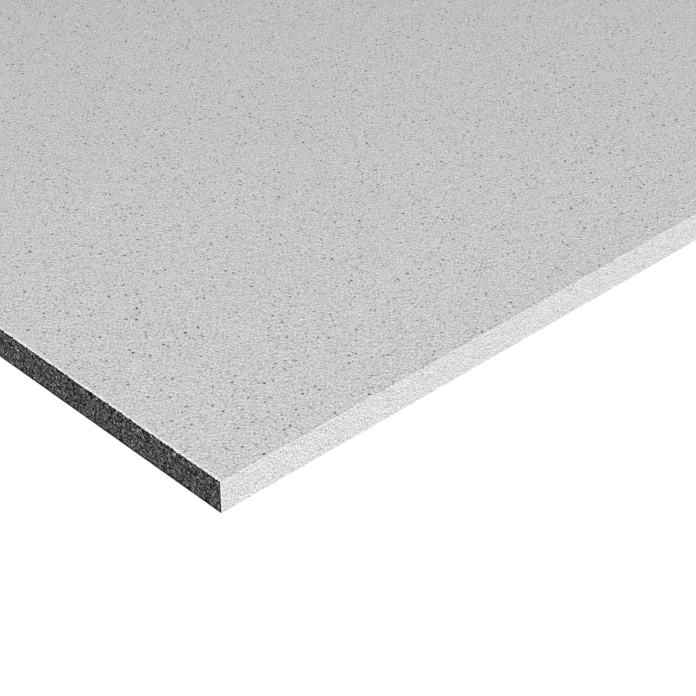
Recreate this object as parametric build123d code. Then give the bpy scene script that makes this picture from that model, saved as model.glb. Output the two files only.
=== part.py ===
"""A drywall sheet: one square-edged gypsum fibreboard, lying face up.

The board is a single homogeneous slab with no paper liner and no layers. It is
pressed and sanded to an even thickness, then sawn square on all four sides. The
saw and the handling leave every arris slightly rounded, and the four corners
keep the same small radius.

Frame: the origin is the middle of the back face, +X runs along the length, +Y
across the width, and +Z up through the thickness to the visible face.
"""

from build123d import *

import os

# Driving dimensions, in millimetres
SHEET_LENGTH = 2400.0
SHEET_WIDTH = 1200.0
SHEET_THICKNESS = 12.5
ARRIS_RADIUS = 0.25


def sawn_outline(length, width):
    """The rectangle that the saw leaves, square at its four corners."""
    with BuildSketch(Plane.XY) as outline:
        Rectangle(length, width)
    return outline.sketch


def drywall_sheet(length, width, thickness, arris):
    """The sawn outline at its full thickness, with all its arrises eased."""
    with BuildPart() as sheet:
        add(sawn_outline(length, width))
        extrude(amount=thickness)
        fillet(sheet.edges(), radius=arris)
    return sheet.part


if __name__ == "__main__":
    os.makedirs("parts", exist_ok=True)
    board = drywall_sheet(SHEET_LENGTH, SHEET_WIDTH, SHEET_THICKNESS, ARRIS_RADIUS)
    export_step(board, "parts/drywall_sheet.step")
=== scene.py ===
"""The looks of the drywall sheet: a bare gypsum fibreboard with sanded faces and sawn edges.

The board is one closed surface with the saw's relief and rounded, chipped arrises in its mesh.
The fine grain, the specks of fibre and the pale granules are in its finish, and so are painted
highlight and painted shade along the arrises and on the torn ends.
"""

import math
from collections import namedtuple

import bpy
import numpy as np
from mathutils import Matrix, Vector

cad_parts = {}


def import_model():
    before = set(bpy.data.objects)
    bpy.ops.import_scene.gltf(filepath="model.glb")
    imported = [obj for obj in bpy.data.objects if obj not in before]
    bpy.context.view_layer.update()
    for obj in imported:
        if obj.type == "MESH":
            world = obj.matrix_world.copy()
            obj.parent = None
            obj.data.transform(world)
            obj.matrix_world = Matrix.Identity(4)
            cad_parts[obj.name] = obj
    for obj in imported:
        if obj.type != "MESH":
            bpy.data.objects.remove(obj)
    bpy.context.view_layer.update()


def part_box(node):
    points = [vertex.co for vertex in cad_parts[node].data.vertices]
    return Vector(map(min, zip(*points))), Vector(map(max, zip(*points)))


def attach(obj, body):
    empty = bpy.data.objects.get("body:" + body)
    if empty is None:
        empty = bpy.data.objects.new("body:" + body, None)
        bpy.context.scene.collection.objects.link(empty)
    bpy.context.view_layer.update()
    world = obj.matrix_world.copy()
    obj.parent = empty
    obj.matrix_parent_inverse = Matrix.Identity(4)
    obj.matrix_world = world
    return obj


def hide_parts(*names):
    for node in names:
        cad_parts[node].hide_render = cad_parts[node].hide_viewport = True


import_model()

MM = 0.001
LOW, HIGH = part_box("drywall_sheet")
LENGTH, WIDTH, THICKNESS = HIGH - LOW
CENTRE = (LOW + HIGH) / 2
NEAR_CORNER = Vector((LOW.x, LOW.y, HIGH.z))

# The mesh of the board. Its steps are fine where the photograph shows it.
CORNER_RADIUS = 0.18 * MM
ARRIS_STEPS = 4
BESIDE_ARRIS = 0.05 * MM
FACE_ROWS = 40
RIM_INSETS = tuple(d * MM for d in (300, 60, 12, 4, 2, 1.5, 1.2, 1.0, 0.85))
SHOWN_ON_LONG_EDGE = 245 * MM
SHOWN_ON_SHORT_END = 128 * MM
LONG_STEP = 0.4 * MM
SHORT_STEP = 0.3 * MM
COARSE_STEP = 26 * MM
STEP_GROWTH = 1.25

# The radii of the arrises, in millimetres. A pair is the value on a long edge, and what is
# added to it on a short end.
LEAST_RADIUS = 0.07
RAGGED_RADIUS = (0.04, 0.13)
UNEVEN_RADIUS = 0.05
CHIPPED_RADIUS = (0.03, 0.16)
ADDED_WHERE_COARSE = 0.10
CHIPPING_AT_FOOT = 0.3
CHIP_RANGE = (0.25, 0.75)
ARRIS_WAVELENGTHS = (1.0 * MM, 3.1 * MM, 1.9 * MM)
TOP_ARRIS_SEED = 21
BOTTOM_ARRIS_SEED = 31
ARRIS_SPACING = (0.5 * MM, 2 * MM)

# The relief of the edges: depths in millimetres, in pairs as above, and noises as their
# wavelength and seed
SWELL_SHARE = 0.15
SWELL = (1.1 * MM, 12)
RIPPLE_SHARE = 0.80
RIPPLE = (0.62 * MM, 13)
WAVE_DEPTH = (0.01, 0.20)
PITS = (0.8 * MM, 14)
PIT_RANGE = (0.30, 0.75)
PIT_DEPTH = (0.01, 0.14)
CRUMBLED_BELOW_TOP = 1.5 * MM
FOOT_FADE = (-0.2 * MM, 1.4 * MM)
BITES = (2.2 * MM, 15)
BITE_RANGE = (0.0, 0.6)
BITE_DEPTH = 0.75
BITE_FADE = (0.3 * MM, 1.6 * MM)
RIM_FADE = (0, 1.2 * MM)
LEAST_RISE_OF_A_FACE = 1.5
RELIEF_SPACING = (0.6 * MM, 3 * MM)

# Painted highlight and painted shade in bands along the arrises: strength, and the distances
# between which each fades out
Band = namedtuple("Band", "strength start stop")
# Painted highlight: pale bands on the face beside a torn arris, under the long edge's top arris
# and beside the upright arris
HIGHLIGHT_BESIDE_TOP = Band(1.0, 0.7 * MM, 1.35 * MM)
HIGHLIGHT_PATCHES = (2.2 * MM, 41)
HIGHLIGHT_MEAN = 0.92
HIGHLIGHT_SWING = 0.2
HIGHLIGHT_LINE = Band(0.12, 0.25 * MM, 0.55 * MM)
HIGHLIGHT_BESIDE_UPRIGHT = Band(0.6, 0.25 * MM, 0.8 * MM)
# Painted shade: dark bands on the short end below its top arris, at its foot and beside the
# upright arris, and a faint one on the face above the long edge
SHADE_BELOW_TOP = Band(0.9, 0.5 * MM, 0.95 * MM)
SHADE_AT_FOOT = Band(1.0, 0.6 * MM, 1.1 * MM)
SHADE_BESIDE_UPRIGHT = Band(0.8, 0.4 * MM, 1.1 * MM)
SHADE_BESIDE_TOP = Band(0.07, 0.5 * MM, 1.1 * MM)
FACING_UP = (0.2, 0.7)

# The bake map, in parts of its side: the two faces, and the strips of the four edges
MAP_MARGIN = 0.04
MAP_ACROSS = 0.92
BACK_FOOT = 0.07
FACE_UP = 0.455
TOP_ABOVE_BACK = 0.465
STRIP_UP = 0.014
STRIP_FEET = (0.005, 0.025, 0.045)
END_ACROSS = 0.45
SECOND_END = 0.51

# Grains of the finish: size, detail and roughness
SANDED = (1.15 * MM, 1.0, 0.7)
SANDED_SHIFT = 0.50 * MM
SANDED_STRENGTH = 0.78
CUT = (0.62 * MM, 1.0, 0.8)
CUT_SHIFT = 0.30 * MM
CUT_STRENGTH = 1.15
DRAWN = (0.6 * MM, 1.0, 0.7)
DRAWN_SQUEEZE = (0.1, 1.0, 1.0)
DRAWN_DEPTH = 0.2
DRAWN_DEPTH_ADDED_ON_LONG_EDGE = 0.4
CRUMB_SIZE = 0.45 * MM
CRUMB_STRENGTH = 3.9
LEAST_TONE = 0.04
CLOUD = (70 * MM, 1.0, 0.6)
CLOUD_RANGE = (0.3, 0.7, 0.994, 1.006)
TINT = (9 * MM, 2.0, 0.6)
TINT_RANGE = (0.35, 0.65)
FIBRE = (0.7 * MM, 0.0, 0.5)
FIBRE_SQUEEZE = (0.2, 1.0, 1.0)
FIBRE_TILT = (0.3, 0.2)
FIBRE_TURNS = (0.4, 1.45, 2.5)
FIBRE_RANGE = (0.64, 0.74)
SPECK_OUTLINE = (0.5 * MM, 1.0)
BUMP_EVERYWHERE = (0.74 * MM, 2.0, 0.8)
BUMP_ON_ENDS = (0.48 * MM, 1.0, 0.8)

# Scattered specks: spacing, largest radius, the share of the points that have one, how ragged
# the outline is, the least strength, and the share of the radius that is at full strength
Specks = namedtuple("Specks", "spacing radius share wobble least core")
DARK_SPECKS = Specks(2.6 * MM, 0.64 * MM, 0.95, 0.5 * MM, 0.25, 0.6)
SMALL_SPECKS = Specks(1.6 * MM, 0.43 * MM, 0.85, 0.3 * MM, 0.25, 0.6)
PALE_GRANULES = Specks(1.2 * MM, 0.34 * MM, 0.85, 0.3 * MM, 0.25, 0.6)
# The cavities are darkened as painted shade in the pits
CAVITIES = Specks(0.95 * MM, 0.53 * MM, 0.60, 0.30 * MM, 0.9, 0.9)
# The lit flecks are paled as painted highlight on grains that catch the lamp
LIT_FLECKS = Specks(1.10 * MM, 0.46 * MM, 0.35, 0.30 * MM, 0.6, 0.85)
SPECK_SOFT_RIM = 1.15
LEAST_SPECK_RADIUS = 0.5

# How much each kind of mark darkens the tone. A negative depth makes it paler.
DARK_SPECK_DEPTH = 0.84
SMALL_SPECK_DEPTH = 0.65
FIBRE_DEPTH = 0.16
GRANULE_DEPTH = -0.5
# Painted shade in the pits
PAINTED_PIT_SHADE = 0.99
# Painted highlight on the flecks
PAINTED_FLECK_HIGHLIGHT = -2.2
# Painted shade along the arrises
PAINTED_SHADE_STRENGTH = 0.88
FEWER_ON_EDGES = 0.3
FEWER_ON_ENDS = 0.4

# The torn ends take painted shade in pits and painted highlight on flecks, most near the top:
# two heights, and the shares below and above them
PIT_AND_FLECK_HEIGHTS = (0.3 * THICKNESS, 0.85 * THICKNESS, 0.7, 1.0)

FACE_COLOUR = (0.594, 0.594, 0.594, 1.0)
LONG_EDGE_COLOUR = (0.676, 0.676, 0.676, 1.0)
# Darker than the faces: painted shade on the short ends
SHADED_SHORT_END_COLOUR = (0.245, 0.245, 0.245, 1.0)
# The colour of the painted highlight beside the arrises
HIGHLIGHT_COLOUR = (0.90, 0.90, 0.898, 1.0)
COOL_TINT = (0.9955, 1.0015, 1.0015, 1.0)
WARM_TINT = (1.0035, 0.9985, 0.9990, 1.0)
ROUGHNESS = 0.9
SPECULAR = 0.04

# Heights of the bump
BUMP_ON_FACE = 0.05 * MM
BUMP_ON_END = 0.40 * MM
SPECK_HOLLOW = 0.08 * MM
CAVITY_HOLLOW = 0.25 * MM

# The floor, in metres, and the world
FLOOR_RADIUS = 14.0
FLOOR_SIDES = 96
FLOOR_DROP = 0.2 * MM
SEEN_FLOOR_COLOUR = (0.25, 0.25, 0.25, 1.0)
UNSEEN_FLOOR_COLOUR = (0.06, 0.06, 0.06, 1.0)
FLOOR_GLOW_RANGE = (1.5, 5.0, 0.81, 1.0)
WORLD_STRENGTH = 0.04

# Lamps: azimuth and elevation in degrees, distance and side in metres, and level
LAMPS = {
    "key": (-100.0, 35.0, 7.0, 2.2, 1.32),
    "overhead": (-162.0, 75.0, 0.75, 0.4, 0.22),
    "back_fill": (50.0, 35.0, 7.0, 2.5, 0.14),
}

# The camera, from the outline of the photographed corner
CAMERA_YAW = math.radians(43.507)
CAMERA_PITCH = math.radians(34.638)
CAMERA_FROM_CORNER = Vector((-0.3114, -0.3865, 0.3931))
CAMERA_LENS = 103.92
CAMERA_SENSOR = 36.0
CAMERA_REACH = (0.05, 60.0)


def lattice(ix, iy, iz, seed):
    """A fixed number from 0 to 1 for each whole-number place.

    The three indices and the seed are each multiplied by an odd constant and combined by
    exclusive or, and two rounds of shift, exclusive or and multiply mix the bits.
    """
    mixed = ix.astype(np.uint32) * np.uint32(374761393)
    mixed ^= iy.astype(np.uint32) * np.uint32(668265263)
    mixed ^= iz.astype(np.uint32) * np.uint32(2246822519)
    mixed ^= np.uint32(seed * 974634777 % 2**32)
    mixed = (mixed ^ (mixed >> np.uint32(15))) * np.uint32(2654435761)
    mixed = (mixed ^ (mixed >> np.uint32(13))) * np.uint32(1274126177)
    return (mixed ^ (mixed >> np.uint32(16))).astype(np.float64) / 2**32


def noise(points, wavelength, seed):
    """Smooth noise from -1 to 1: the eight lattice values round a point, blended by smoothstep."""
    at = points / wavelength
    base = np.floor(at)
    part = at - base
    part = part * part * (3 - 2 * part)
    base = base.astype(np.int64)
    total = 0.0
    for dx in (0, 1):
        for dy in (0, 1):
            for dz in (0, 1):
                share = (
                    np.abs(1 - dx - part[..., 0])
                    * np.abs(1 - dy - part[..., 1])
                    * np.abs(1 - dz - part[..., 2])
                )
                step = (base[..., 0] + dx, base[..., 1] + dy, base[..., 2] + dz)
                total = total + share * lattice(*step, seed)
    return 2 * total - 1


def smoothstep(low, high, x):
    """0 below low, 1 above high, and the cubic 3t^2 - 2t^3 between them."""
    t = np.clip((x - low) / (high - low), 0, 1)
    return t * t * (3 - 2 * t)


def band(kind, distance):
    """The band's strength up to its start, 0 past its stop, and smoothstep between them."""
    return kind.strength * (1 - smoothstep(kind.start, kind.stop, distance))


def by_side(pair, torn):
    """The value on a long edge, plus what a short end adds to it times how torn the side is."""
    return pair[0] + pair[1] * torn


def graded(length, fine, reach):
    """Distances along one side, from 0 to its length.

    The steps are fine for the stretch called reach, then each is a fixed ratio longer than the
    one before it up to the coarse step. The steps past the reach are scaled to end on the length.
    """
    near = np.full(round(reach / fine), fine)
    count = math.ceil(math.log(COARSE_STEP / fine) / math.log(STEP_GROWTH))
    growing = fine * STEP_GROWTH ** np.arange(1, count)
    rest = length - near.sum()
    coarse = np.full(math.ceil((rest - growing.sum()) / COARSE_STEP), COARSE_STEP)
    far = np.concatenate([growing, coarse])
    return np.concatenate([[0.0], np.cumsum(np.concatenate([near, far * rest / far.sum()]))])


def outline():
    """The sheet's outline seen from above, anticlockwise from the photographed corner.

    Four straight sides are joined by quarter circles of the corner radius. Returns each
    station's place, outward direction, distance to its neighbours and nearness to a corner.
    """
    half_x, half_y = LENGTH / 2, WIDTH / 2
    long_run = LENGTH - 2 * CORNER_RADIUS
    short_run = WIDTH - 2 * CORNER_RADIUS
    even_long = np.linspace(0, long_run, math.ceil(long_run / COARSE_STEP) + 1)
    even_short = np.linspace(0, short_run, math.ceil(short_run / COARSE_STEP) + 1)
    near_long = graded(long_run, LONG_STEP, SHOWN_ON_LONG_EDGE)
    near_short = short_run - graded(short_run, SHORT_STEP, SHOWN_ON_SHORT_END)[::-1]
    runs = (near_long, even_short, even_long, near_short)
    places, outward = [], []
    for side, run in enumerate(runs):
        along = np.array([math.cos(side * math.pi / 2), math.sin(side * math.pi / 2)])
        out = np.array([along[1], -along[0]])
        half = (half_x, half_y)[side % 2]
        reach = (half_y, half_x)[side % 2]
        straight = (run - half + CORNER_RADIUS)[:, None] * along + reach * out
        turn = np.linspace(0, math.pi / 2, ARRIS_STEPS + 1)[1:-1, None]
        swing = out * np.cos(turn) + along * np.sin(turn)
        middle = (half - CORNER_RADIUS) * along + (reach - CORNER_RADIUS) * out
        places += [straight, middle + CORNER_RADIUS * swing]
        outward += [np.tile(out, (len(run), 1)), swing]
    places, outward = np.concatenate(places), np.concatenate(outward)
    gaps = np.linalg.norm(np.roll(places, -1, axis=0) - places, axis=1)
    spacing = (gaps + np.roll(gaps, 1)) / 2
    corner = np.hypot(half_x - np.abs(places[:, 0]), half_y - np.abs(places[:, 1]))
    return places, outward, spacing, corner


def arris_radii(places, outward, spacing, height, seed):
    """The radius of one arris at each station.

    It is a least radius plus noise at two wavelengths along the arris, and chips where a third
    noise is high. The short ends, which the saw tore, have larger chips than the long edges.
    """
    torn = np.abs(outward[:, 0])
    spot = np.column_stack([places, np.full(len(places), height)])
    ragged, uneven, chips = (
        noise(spot, wavelength, seed + n) for n, wavelength in enumerate(ARRIS_WAVELENGTHS)
    )
    ragged, uneven = 0.5 + 0.5 * ragged, 0.5 + 0.5 * uneven
    chips = smoothstep(*CHIP_RANGE, chips)
    fine = 1 - smoothstep(*ARRIS_SPACING, spacing)
    chipped = torn * (1 if height > 0 else CHIPPING_AT_FOOT)
    rough = by_side(RAGGED_RADIUS, chipped) * ragged + UNEVEN_RADIUS * uneven
    rough = rough + by_side(CHIPPED_RADIUS, chipped) * chips
    return (LEAST_RADIUS + fine * rough + (1 - fine) * ADDED_WHERE_COARSE) * MM


def profile(top, bottom):
    """Inset and height of each row at each station, and the rise of its outward direction.

    Rows run from the top face's rim rings, round the top arris as a quarter circle, straight
    down the sawn edge, round the bottom arris and back along the rings of the back face. A row
    close to each end of each arris keeps the faces beside it flat.
    """
    rings = np.array(RIM_INSETS)[:, None] * np.ones(len(top))
    beside_top, beside_bottom = top[None] + BESIDE_ARRIS, bottom[None] + BESIDE_ARRIS
    turn = np.linspace(0, math.pi / 2, ARRIS_STEPS + 1)[:, None]
    fall = np.linspace(0, 1, FACE_ROWS + 1)[1:-1, None]
    inset = np.concatenate([
        rings,
        beside_top,
        top * (1 - np.sin(turn)),
        0 * beside_top,
        0 * fall * top,
        0 * beside_bottom,
        bottom * (1 - np.cos(turn)),
        beside_bottom,
        rings[::-1],
    ])
    height = np.concatenate([
        0 * rings + THICKNESS,
        0 * beside_top + THICKNESS,
        THICKNESS - top * (1 - np.cos(turn)),
        THICKNESS - beside_top,
        (THICKNESS - beside_top) * (1 - fall) + beside_bottom * fall,
        beside_bottom,
        bottom * (1 - np.sin(turn)),
        0 * beside_bottom,
        0 * rings,
    ])
    rise = np.concatenate([
        np.full(len(rings) + 1, math.pi / 2),
        math.pi / 2 - turn[:, 0],
        np.zeros(len(fall) + 2),
        -turn[:, 0],
        np.full(len(rings) + 1, -math.pi / 2),
    ])
    return inset, height, rise


def saw_relief(points, torn):
    """How far the saw and the torn-out grains go below the flat edge, in metres.

    Two octaves of noise are added, and pits where another noise is high. On the short ends
    the relief is many times deeper than on the long edges. It doubles towards the top arris
    and fades at the bottom one.
    """
    waves = SWELL_SHARE * noise(points, *SWELL) + RIPPLE_SHARE * noise(points, *RIPPLE)
    waves = 0.5 + 0.5 * waves
    pits = smoothstep(*PIT_RANGE, noise(points, *PITS))
    depth = by_side(WAVE_DEPTH, torn) * waves + by_side(PIT_DEPTH, torn) * pits
    height = points[..., 2]
    crumbled = 1 + smoothstep(THICKNESS - CRUMBLED_BELOW_TOP, THICKNESS, height)
    return depth * crumbled * smoothstep(*FOOT_FADE, height) * MM


def corner_bites(points, torn, corner):
    """How far the chips at the upright arris cut in: bites out of the short end, in metres.

    A bite is where slow noise is high, and it fades with the distance from the corner.
    """
    bitten = smoothstep(*BITE_RANGE, noise(points, *BITES)) * BITE_DEPTH * MM
    return bitten * torn * (1 - smoothstep(*BITE_FADE, corner))


def edge_marks(places, torn, corner, inset, height, rise):
    """How sawn and torn each point is, and its painted highlight and painted shade, from 0 to 1,
    for the finish.

    A point is sawn by the squared cosine of its rise. The face beside a torn arris takes a pale
    band of painted highlight in patches, and the short end takes painted shade just below that
    arris, at the foot and beside the upright arris. On the long edge the upright arris takes a
    painted highlight, the line under the top arris faintly so, and the face above it a faint
    painted shade.
    """
    smooth = 1 - torn
    sawn = np.cos(rise)[:, None] ** 2 * np.ones(len(places))
    from_top = np.hypot(inset, THICKNESS - height)
    above = smoothstep(*FACING_UP, np.sin(rise))[:, None]
    spot = np.column_stack([places, np.full(len(places), THICKNESS)])
    patchy = HIGHLIGHT_MEAN + HIGHLIGHT_SWING * noise(spot, *HIGHLIGHT_PATCHES)
    # Pale bands of painted highlight
    highlit = above * band(HIGHLIGHT_BESIDE_TOP, from_top) * torn * patchy
    highlit = np.maximum(highlit, (1 - above) * band(HIGHLIGHT_LINE, from_top) * smooth)
    highlit = np.maximum(highlit, band(HIGHLIGHT_BESIDE_UPRIGHT, corner[None] + inset) * smooth ** 2)
    # Dark bands of painted shade on the short end, and a faint one on the face
    dark = np.maximum(band(SHADE_BELOW_TOP, from_top), band(SHADE_AT_FOOT, height))
    dark = np.maximum(dark, band(SHADE_BESIDE_UPRIGHT, corner))
    face_shade = above * band(SHADE_BESIDE_TOP, from_top) * smooth
    return {
        "sawn": sawn,
        "torn": sawn * torn,
        "painted_arris_highlight": highlit,
        "painted_shade": dark * sawn * torn + face_shade,
    }


def board_surface():
    """The whole closed board as rows times stations, plus one pole in the middle of each face.

    Place = outline scaled towards the middle by the row's inset, at the row's height, less the
    relief and the bites along the level outward direction. On the two faces both fade within
    1.2 mm of the edge. Returns points, quads, triangles, point attributes and the bake map.
    """
    places, outward, spacing, corner = outline()
    torn = np.abs(outward[:, 0])
    top = arris_radii(places, outward, spacing, THICKNESS, TOP_ARRIS_SEED)
    bottom = arris_radii(places, outward, spacing, 0.0, BOTTOM_ARRIS_SEED)
    inset, height, rise = profile(top, bottom)
    half = np.array([LENGTH / 2, WIDTH / 2])
    flat = places[None] * (1 - inset[..., None] / half)
    points = np.concatenate([flat, height[..., None]], axis=2)
    fine = 1 - smoothstep(*RELIEF_SPACING, spacing)
    on_face = np.abs(rise)[:, None] > LEAST_RISE_OF_A_FACE
    near = np.where(on_face, 1 - smoothstep(*RIM_FADE, inset), 1.0)
    relief = (saw_relief(points, torn) + corner_bites(points, torn, corner)) * fine * near
    points[..., :2] -= outward[None] * relief[..., None]
    values = edge_marks(places, torn, corner, inset, height, rise)
    values = {k: np.concatenate([v.ravel(), [0.0, 0.0]]) for k, v in values.items()}
    poles = np.array([[0, 0, THICKNESS], [0, 0, 0.0]])
    points = np.concatenate([points.reshape(-1, 3), poles])
    points += np.array([CENTRE.x, CENTRE.y, LOW.z])
    rows, count = inset.shape
    index = np.arange(rows * count).reshape(rows, count)
    after = np.roll(index, -1, axis=1)
    quads = np.stack([index[:-1], index[1:], after[1:], after[:-1]], axis=2).reshape(-1, 4)
    top_pole, back_pole = rows * count, rows * count + 1
    first = np.column_stack([np.full(count, top_pole), index[0], after[0]])
    last = np.column_stack([np.full(count, back_pole), after[-1], index[-1]])
    triangles = np.concatenate([first, last])
    return points, quads, triangles, values, bake_map(points, quads, triangles, rows, outward)


def bake_map(points, quads, triangles, rows, outward):
    """Where each face corner lies on the flat map that the finish is baked on.

    The two faces are laid out at one scale, one above the other. The four edges are strips
    under them: distance along the edge to the right, height upwards.
    """
    count = len(outward)
    place = points - np.array([CENTRE.x, CENTRE.y, LOW.z])
    x, y, z = place[:, 0] / LENGTH + 0.5, place[:, 1] / WIDTH + 0.5, place[:, 2] / THICKNESS
    along = MAP_MARGIN + MAP_ACROSS * x
    low, middle, high = (foot + STRIP_UP * z for foot in STRIP_FEET)
    back = np.stack([along, BACK_FOOT + FACE_UP * y], axis=1)
    upper = back + np.array([0, TOP_ABOVE_BACK])
    strips = np.stack([
        np.stack([along, low], axis=1),
        np.stack([MAP_MARGIN + END_ACROSS * y, middle], axis=1),
        np.stack([along, high], axis=1),
        np.stack([SECOND_END + END_ACROSS * y, middle], axis=1),
    ])
    row = np.repeat(np.arange(len(quads) // count), count)
    edge_rows = len(RIM_INSETS) + 1 + ARRIS_STEPS // 2
    on_top, on_back = row < edge_rows, row >= rows - 1 - edge_rows
    both = outward + np.roll(outward, -1, axis=0)
    turned = np.round(np.arctan2(both[:, 1], both[:, 0]) / (math.pi / 2) + 1).astype(int) % 4
    side = np.tile(turned, len(quads) // count)
    spots = strips[side[:, None], quads]
    spots[on_top] = upper[quads[on_top]]
    spots[on_back] = back[quads[on_back]]
    half = len(triangles) // 2
    caps = np.concatenate([upper[triangles[:half]], back[triangles[half:]]])
    return np.concatenate([spots.reshape(-1, 2), caps.reshape(-1, 2)])


def mesh_object(name, points, quads, triangles, values, spots=None):
    """A smooth-shaded mesh from arrays of points, quads and triangles, with point attributes."""
    mesh = bpy.data.meshes.new(name)
    mesh.vertices.add(len(points))
    mesh.vertices.foreach_set("co", points.astype(np.float32).ravel())
    corners = np.concatenate([quads.ravel(), triangles.ravel()]).astype(np.int32)
    mesh.loops.add(len(corners))
    mesh.loops.foreach_set("vertex_index", corners)
    sizes = np.concatenate([np.full(len(quads), 4), np.full(len(triangles), 3)])
    starts = np.concatenate([[0], np.cumsum(sizes)[:-1]]).astype(np.int32)
    mesh.polygons.add(len(sizes))
    mesh.polygons.foreach_set("loop_start", starts)
    mesh.update(calc_edges=True)
    mesh.polygons.foreach_set("use_smooth", np.ones(len(sizes), dtype=bool))
    for key, value in values.items():
        layer = mesh.attributes.new(key, "FLOAT", "POINT")
        layer.data.foreach_set("value", value.astype(np.float32))
    if spots is not None:
        layer = mesh.uv_layers.new(name="OFBake")
        layer.data.foreach_set("uv", spots.astype(np.float32).ravel())
    mesh.validate()
    piece = bpy.data.objects.new(name, mesh)
    bpy.context.scene.collection.objects.link(piece)
    return piece


class Finish:
    """A node tree under construction, with short calls for the nodes that the finish uses."""

    def __init__(self, name):
        self.material = bpy.data.materials.new(name)
        self.material.use_nodes = True
        self.tree = self.material.node_tree
        self.tree.nodes.clear()
        self.place = self.node("ShaderNodeTexCoord").outputs["Object"]

    def node(self, kind, **settings):
        made = self.tree.nodes.new(kind)
        for key, value in settings.items():
            setattr(made, key, value)
        return made

    def feed(self, socket, value):
        """Links a socket to a socket, or sets it to a number, a colour or a vector."""
        if isinstance(value, bpy.types.NodeSocket):
            self.tree.links.new(value, socket)
        else:
            socket.default_value = value

    def math(self, operation, a, b, kind="ShaderNodeMath"):
        made = self.node(kind, operation=operation)
        self.feed(made.inputs[0], a)
        self.feed(made.inputs[1], b)
        return made.outputs[0]

    def plus(self, a, b):
        return self.math("ADD", a, b)

    def minus(self, a, b):
        return self.math("SUBTRACT", a, b)

    def times(self, a, b):
        return self.math("MULTIPLY", a, b)

    def vector_math(self, operation, a, b):
        return self.math(operation, a, b, "ShaderNodeVectorMath")

    def grain(self, size, detail, roughness=0.5, place=None):
        """Noise from 0 to 1 whose features are about as large as size, in metres."""
        made = self.node("ShaderNodeTexNoise")
        self.feed(made.inputs["Vector"], place or self.place)
        made.inputs["Scale"].default_value = 1 / size
        made.inputs["Detail"].default_value = detail
        made.inputs["Roughness"].default_value = roughness
        return made.outputs["Factor" if "Factor" in made.outputs else "Fac"]

    def speckle(self, grain, shift, axes):
        """Noise round 0 that has no wide patches.

        For each of two axes it takes the grain less the same grain moved by the shift along
        that axis, and adds the two.
        """
        here = self.grain(*grain)
        parts = []
        for axis in axes:
            step = [0.0, 0.0, 0.0]
            step[axis] = shift
            moved = self.vector_math("ADD", self.place, step)
            parts.append(self.minus(here, self.grain(*grain, moved)))
        return self.plus(*parts)

    def cells(self, size):
        """Distance to the nearest of the scattered points, in parts of size, and its colour."""
        made = self.node("ShaderNodeTexVoronoi")
        self.feed(made.inputs["Vector"], self.place)
        made.inputs["Scale"].default_value = 1 / size
        split = self.node("ShaderNodeSeparateColor")
        self.feed(split.inputs[0], made.outputs["Color"])
        return made.outputs["Distance"], split.outputs

    def range(self, value, low, high, to_low=0.0, to_high=1.0, smooth=True):
        """The value's range from low to high carried over to another range, and clamped."""
        made = self.node("ShaderNodeMapRange")
        made.interpolation_type = "SMOOTHSTEP" if smooth else "LINEAR"
        self.feed(made.inputs["Value"], value)
        for key, number in (("From Min", low), ("From Max", high),
                            ("To Min", to_low), ("To Max", to_high)):
            self.feed(made.inputs[key], number)
        return made.outputs["Result"]

    def attribute(self, name):
        return self.node("ShaderNodeAttribute", attribute_name=name).outputs["Fac"]

    def mix(self, share, a, b):
        made = self.node("ShaderNodeMix", data_type="RGBA")
        self.feed(made.inputs["Factor"], share)
        self.feed(made.inputs["A"], a)
        self.feed(made.inputs["B"], b)
        return made.outputs["Result"]

    def surface(self, shader):
        """Ends the tree with the shader, and returns the material."""
        self.feed(self.node("ShaderNodeOutputMaterial").inputs["Surface"], shader)
        return self.material


def specks(finish, kind):
    """Scattered specks cut through by the surface: up to 1 inside a speck and 0 outside it.

    A speck is where the distance to a scattered point, roughened by noise, is under the
    point's own radius. Only a share of the points has a speck, each with its own strength
    from the least up to 1. Inside the core, a share of the radius, it is at full strength.
    """
    distance, own = finish.cells(kind.spacing)
    ragged = finish.minus(finish.grain(*SPECK_OUTLINE), 0.5)
    distance = finish.plus(finish.times(distance, kind.spacing),
                           finish.times(ragged, kind.wobble))
    strength = finish.range(own[0], 0.0, kind.share, 1.0, kind.least, smooth=False)
    strength = finish.times(strength, finish.math("LESS_THAN", own[0], kind.share))
    radius = finish.range(
        own[1], 0.0, 1.0, LEAST_SPECK_RADIUS * kind.radius, kind.radius, smooth=False)
    inside = finish.math("DIVIDE", distance, radius)
    return finish.times(finish.range(inside, kind.core, SPECK_SOFT_RIM, 1.0, 0.0), strength)


def fibres(finish):
    """Short marks of paper fibre that lie in the face, along three directions.

    For each direction the surface is turned and squeezed to a fifth along it, so the high
    parts of a noise come out as dashes about 2 mm long and 0.4 mm wide.
    """
    marks = 0.0
    for turn in FIBRE_TURNS:
        turned = finish.node("ShaderNodeMapping")
        finish.feed(turned.inputs["Vector"], finish.place)
        turned.inputs["Rotation"].default_value = (*FIBRE_TILT, turn)
        squeezed = finish.vector_math("MULTIPLY", turned.outputs[0], FIBRE_SQUEEZE)
        mark = finish.range(finish.grain(*FIBRE, squeezed), *FIBRE_RANGE)
        marks = finish.math("MAXIMUM", marks, mark)
    return marks


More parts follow.
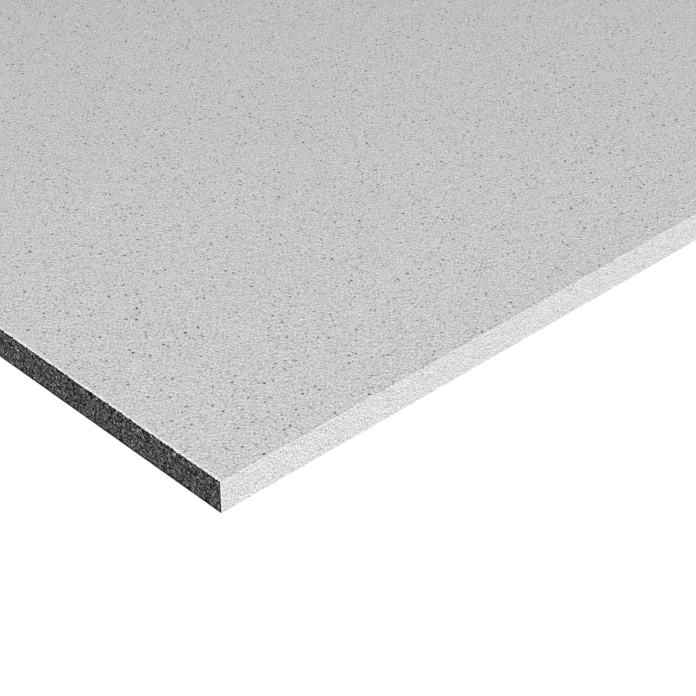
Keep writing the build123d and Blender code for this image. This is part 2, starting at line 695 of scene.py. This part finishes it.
def bare_tone(finish, sawn, torn):
    """The tone of the plain material, about 1: grain, crumbs, drawn lines and faint clouds.

    The grain of the faces blends into that of the sawn edges. The crumbs are cells on the torn
    ends, each with its own tone. The lines run along the sheet's length.
    """
    on_face = finish.times(finish.speckle(SANDED, SANDED_SHIFT, (0, 1)), SANDED_STRENGTH)
    on_edge = finish.times(finish.speckle(CUT, CUT_SHIFT, (2, 0)), CUT_STRENGTH)
    grain = finish.plus(on_face, finish.times(finish.minus(on_edge, on_face), sawn))
    crumbs = finish.times(finish.minus(finish.cells(CRUMB_SIZE)[1][0], 0.5), torn)
    tone = finish.plus(finish.plus(grain, 1.0), finish.times(crumbs, CRUMB_STRENGTH))
    tone = finish.math("MAXIMUM", tone, LEAST_TONE)
    drawn = finish.vector_math("MULTIPLY", finish.place, DRAWN_SQUEEZE)
    lines = finish.minus(finish.grain(*DRAWN, drawn), 0.5)
    on_long_edge = finish.minus(sawn, torn)
    depth = finish.plus(
        finish.times(on_long_edge, DRAWN_DEPTH_ADDED_ON_LONG_EDGE), DRAWN_DEPTH)
    tone = finish.plus(tone, finish.times(lines, depth))
    cloudy = finish.range(finish.grain(*CLOUD), *CLOUD_RANGE, smooth=False)
    return finish.times(tone, cloudy)


def base_colour(finish, sawn, torn, arris_highlight):
    """The colour of the faces, edges and ends, darkened on the short ends as painted shade and
    paled beside the arrises as painted highlight, with a faint change of tint.
    """
    body = finish.mix(sawn, FACE_COLOUR, LONG_EDGE_COLOUR)
    # Painted shade on the short ends
    body = finish.mix(torn, body, SHADED_SHORT_END_COLOUR)
    # Painted highlight beside the arrises
    body = finish.mix(arris_highlight, body, HIGHLIGHT_COLOUR)
    shift = finish.range(finish.grain(*TINT), *TINT_RANGE)
    return finish.vector_math("MULTIPLY", body, finish.mix(shift, COOL_TINT, WARM_TINT))


def relief_height(finish, torn, dark, cavity):
    """The height of the bump: fine grain, deeper on the torn ends, less specks and cavities."""
    fine = finish.grain(*BUMP_EVERYWHERE)
    close = finish.times(finish.grain(*BUMP_ON_ENDS), torn)
    depth = finish.range(torn, 0.0, 1.0, BUMP_ON_FACE, BUMP_ON_END, smooth=False)
    height = finish.times(finish.plus(fine, close), depth)
    height = finish.minus(height, finish.times(dark, SPECK_HOLLOW))
    return finish.minus(height, finish.times(cavity, CAVITY_HOLLOW))


def gypsum_fibreboard():
    """Grey gypsum with paper fibre: fine grain, dark specks, pale granules, painted highlight and
    shade.

    Each mark multiplies the tone by one less its share times its depth. The pale bands beside the
    arrises and the pale flecks of the torn ends are painted highlight; the pits of the torn ends,
    the dark bands along their arrises and a faint line on the face beside the long edge are
    painted shade.
    """
    finish = Finish("gypsum_fibreboard")
    sawn, torn, arris_highlight, painted_shade = map(finish.attribute, ("sawn", "torn", "painted_arris_highlight", "painted_shade"))
    split = finish.node("ShaderNodeSeparateXYZ")
    finish.feed(split.inputs[0], finish.place)
    # Where the torn ends take painted shade in pits and painted highlight on flecks
    pit_and_fleck_share = finish.times(torn, finish.range(split.outputs["Z"], *PIT_AND_FLECK_HEIGHTS))
    marked = finish.minus(1.0, finish.times(sawn, FEWER_ON_EDGES))
    marked = finish.minus(marked, finish.times(torn, FEWER_ON_ENDS))
    dark = specks(finish, DARK_SPECKS)
    cavity = finish.times(specks(finish, CAVITIES), pit_and_fleck_share)
    tone = bare_tone(finish, sawn, torn)
    for share, depth in (
        (finish.times(dark, marked), DARK_SPECK_DEPTH),
        (finish.times(specks(finish, SMALL_SPECKS), marked), SMALL_SPECK_DEPTH),
        (finish.times(fibres(finish), marked), FIBRE_DEPTH),
        (finish.times(specks(finish, PALE_GRANULES), marked), GRANULE_DEPTH),
        # painted shade in the pits
        (cavity, PAINTED_PIT_SHADE),
        # painted highlight on the flecks
        (finish.times(specks(finish, LIT_FLECKS), pit_and_fleck_share), PAINTED_FLECK_HIGHLIGHT),
        # painted shade along the arrises
        (painted_shade, PAINTED_SHADE_STRENGTH),
    ):
        tone = finish.times(tone, finish.minus(1.0, finish.times(share, depth)))
    colour = finish.node("ShaderNodeVectorMath", operation="SCALE")
    finish.feed(colour.inputs[0], base_colour(finish, sawn, torn, arris_highlight))
    finish.feed(colour.inputs["Scale"], tone)
    bump = finish.node("ShaderNodeBump")
    bump.inputs["Strength"].default_value = 1.0
    bump.inputs["Distance"].default_value = 1.0
    finish.feed(bump.inputs["Height"], relief_height(finish, torn, dark, cavity))
    shader = finish.node("ShaderNodeBsdfPrincipled")
    shader.inputs["Roughness"].default_value = ROUGHNESS
    shader.inputs["Specular IOR Level"].default_value = SPECULAR
    finish.feed(shader.inputs["Base Color"], colour.outputs[0])
    finish.feed(shader.inputs["Normal"], bump.outputs[0])
    return finish.surface(shader.outputs[0])


def pale_floor():
    """A white floor that keeps the shadow near the sheet and fades into the background.

    It glows and is a pale diffuse surface for the rays that show the background: straight,
    mirrored or passing through glass. For all others it is a dark diffuse surface.
    """
    finish = Finish("pale_floor")
    away = finish.node("ShaderNodeVectorMath", operation="LENGTH")
    finish.feed(away.inputs[0], finish.place)
    glow = finish.node("ShaderNodeEmission")
    strength = finish.range(away.outputs["Value"], *FLOOR_GLOW_RANGE)
    finish.feed(glow.inputs["Strength"], strength)
    seen = finish.node("ShaderNodeBsdfDiffuse")
    seen.inputs["Color"].default_value = SEEN_FLOOR_COLOUR
    bright = finish.node("ShaderNodeAddShader")
    finish.feed(bright.inputs[0], glow.outputs[0])
    finish.feed(bright.inputs[1], seen.outputs[0])
    unseen = finish.node("ShaderNodeBsdfDiffuse")
    unseen.inputs["Color"].default_value = UNSEEN_FLOOR_COLOUR
    path = finish.node("ShaderNodeLightPath").outputs
    shows = finish.math("MAXIMUM", path["Is Camera Ray"], path["Is Glossy Ray"])
    shows = finish.math("MAXIMUM", shows, path["Is Transmission Ray"])
    choice = finish.node("ShaderNodeMixShader")
    finish.feed(choice.inputs[0], shows)
    finish.feed(choice.inputs[1], unseen.outputs[0])
    finish.feed(choice.inputs[2], bright.outputs[0])
    return finish.surface(choice.outputs[0])


def floor():
    """A round floor: a fan of triangles round its middle, just under the sheet."""
    turn = np.linspace(0, 2 * math.pi, FLOOR_SIDES, endpoint=False)
    rim = np.column_stack([np.cos(turn), np.sin(turn), 0 * turn]) * FLOOR_RADIUS
    points = np.concatenate([rim, [[0.0, 0.0, 0.0]]]) + np.array([0, 0, LOW.z - FLOOR_DROP])
    index = np.arange(len(rim))
    fan = np.column_stack([index, np.roll(index, -1), np.full(len(rim), len(rim))])
    piece = mesh_object("floor", points, np.zeros((0, 4), int), fan, {})
    piece.data.materials.append(pale_floor())


def world():
    """White where it is seen, and a weak even fill elsewhere."""
    made = bpy.data.worlds.new("studio")
    made.use_nodes = True
    tree = made.node_tree
    background = tree.nodes["Background"]
    path = tree.nodes.new("ShaderNodeLightPath")
    seen = tree.nodes.new("ShaderNodeMath")
    seen.operation = "MAXIMUM"
    tree.links.new(path.outputs["Is Camera Ray"], seen.inputs[0])
    tree.links.new(path.outputs["Is Glossy Ray"], seen.inputs[1])
    strength = tree.nodes.new("ShaderNodeMapRange")
    tree.links.new(seen.outputs[0], strength.inputs["Value"])
    strength.inputs["To Min"].default_value = WORLD_STRENGTH
    strength.inputs["To Max"].default_value = 1.0
    background.inputs["Color"].default_value = (1, 1, 1, 1)
    tree.links.new(strength.outputs[0], background.inputs["Strength"])
    bpy.context.scene.world = made


def soft_lamp(name, azimuth, elevation, distance, size, level):
    """A square lamp aimed at the photographed corner.

    Azimuth is counted from +X towards +Y. Level 1 lights a surface that faces the lamp so that
    a colour renders as it is written, which takes a power of level times pi squared times
    the distance squared.
    """
    a, e = math.radians(azimuth), math.radians(elevation)
    out = Vector((math.cos(a) * math.cos(e), math.sin(a) * math.cos(e), math.sin(e)))
    data = bpy.data.lights.new(name, "AREA")
    data.size = size
    data.energy = level * math.pi**2 * distance**2
    lamp = bpy.data.objects.new(name, data)
    lamp.location = NEAR_CORNER + out * distance
    lamp.rotation_mode = "QUATERNION"
    lamp.rotation_quaternion = out.to_track_quat("Z", "Y")
    bpy.context.scene.collection.objects.link(lamp)


def camera():
    """Looks down on the corner along the photograph's line of sight."""
    data = bpy.data.cameras.new("camera")
    data.sensor_width = CAMERA_SENSOR
    data.lens = CAMERA_LENS
    data.clip_start, data.clip_end = CAMERA_REACH
    made = bpy.data.objects.new("camera", data)
    made.location = NEAR_CORNER + CAMERA_FROM_CORNER
    sight = Vector((math.sin(CAMERA_YAW) * math.cos(CAMERA_PITCH),
                    math.cos(CAMERA_YAW) * math.cos(CAMERA_PITCH),
                    -math.sin(CAMERA_PITCH)))
    made.rotation_mode = "QUATERNION"
    made.rotation_quaternion = sight.to_track_quat("-Z", "Y")
    bpy.context.scene.collection.objects.link(made)
    bpy.context.scene.camera = made


camera()
world()
for lamp_name, settings in LAMPS.items():
    soft_lamp(lamp_name, *settings)
floor()

board = mesh_object("board", *board_surface())
board.data.materials.append(gypsum_fibreboard())
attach(board, "root")
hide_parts("drywall_sheet")

bpy.context.scene.view_settings.view_transform = "Standard"
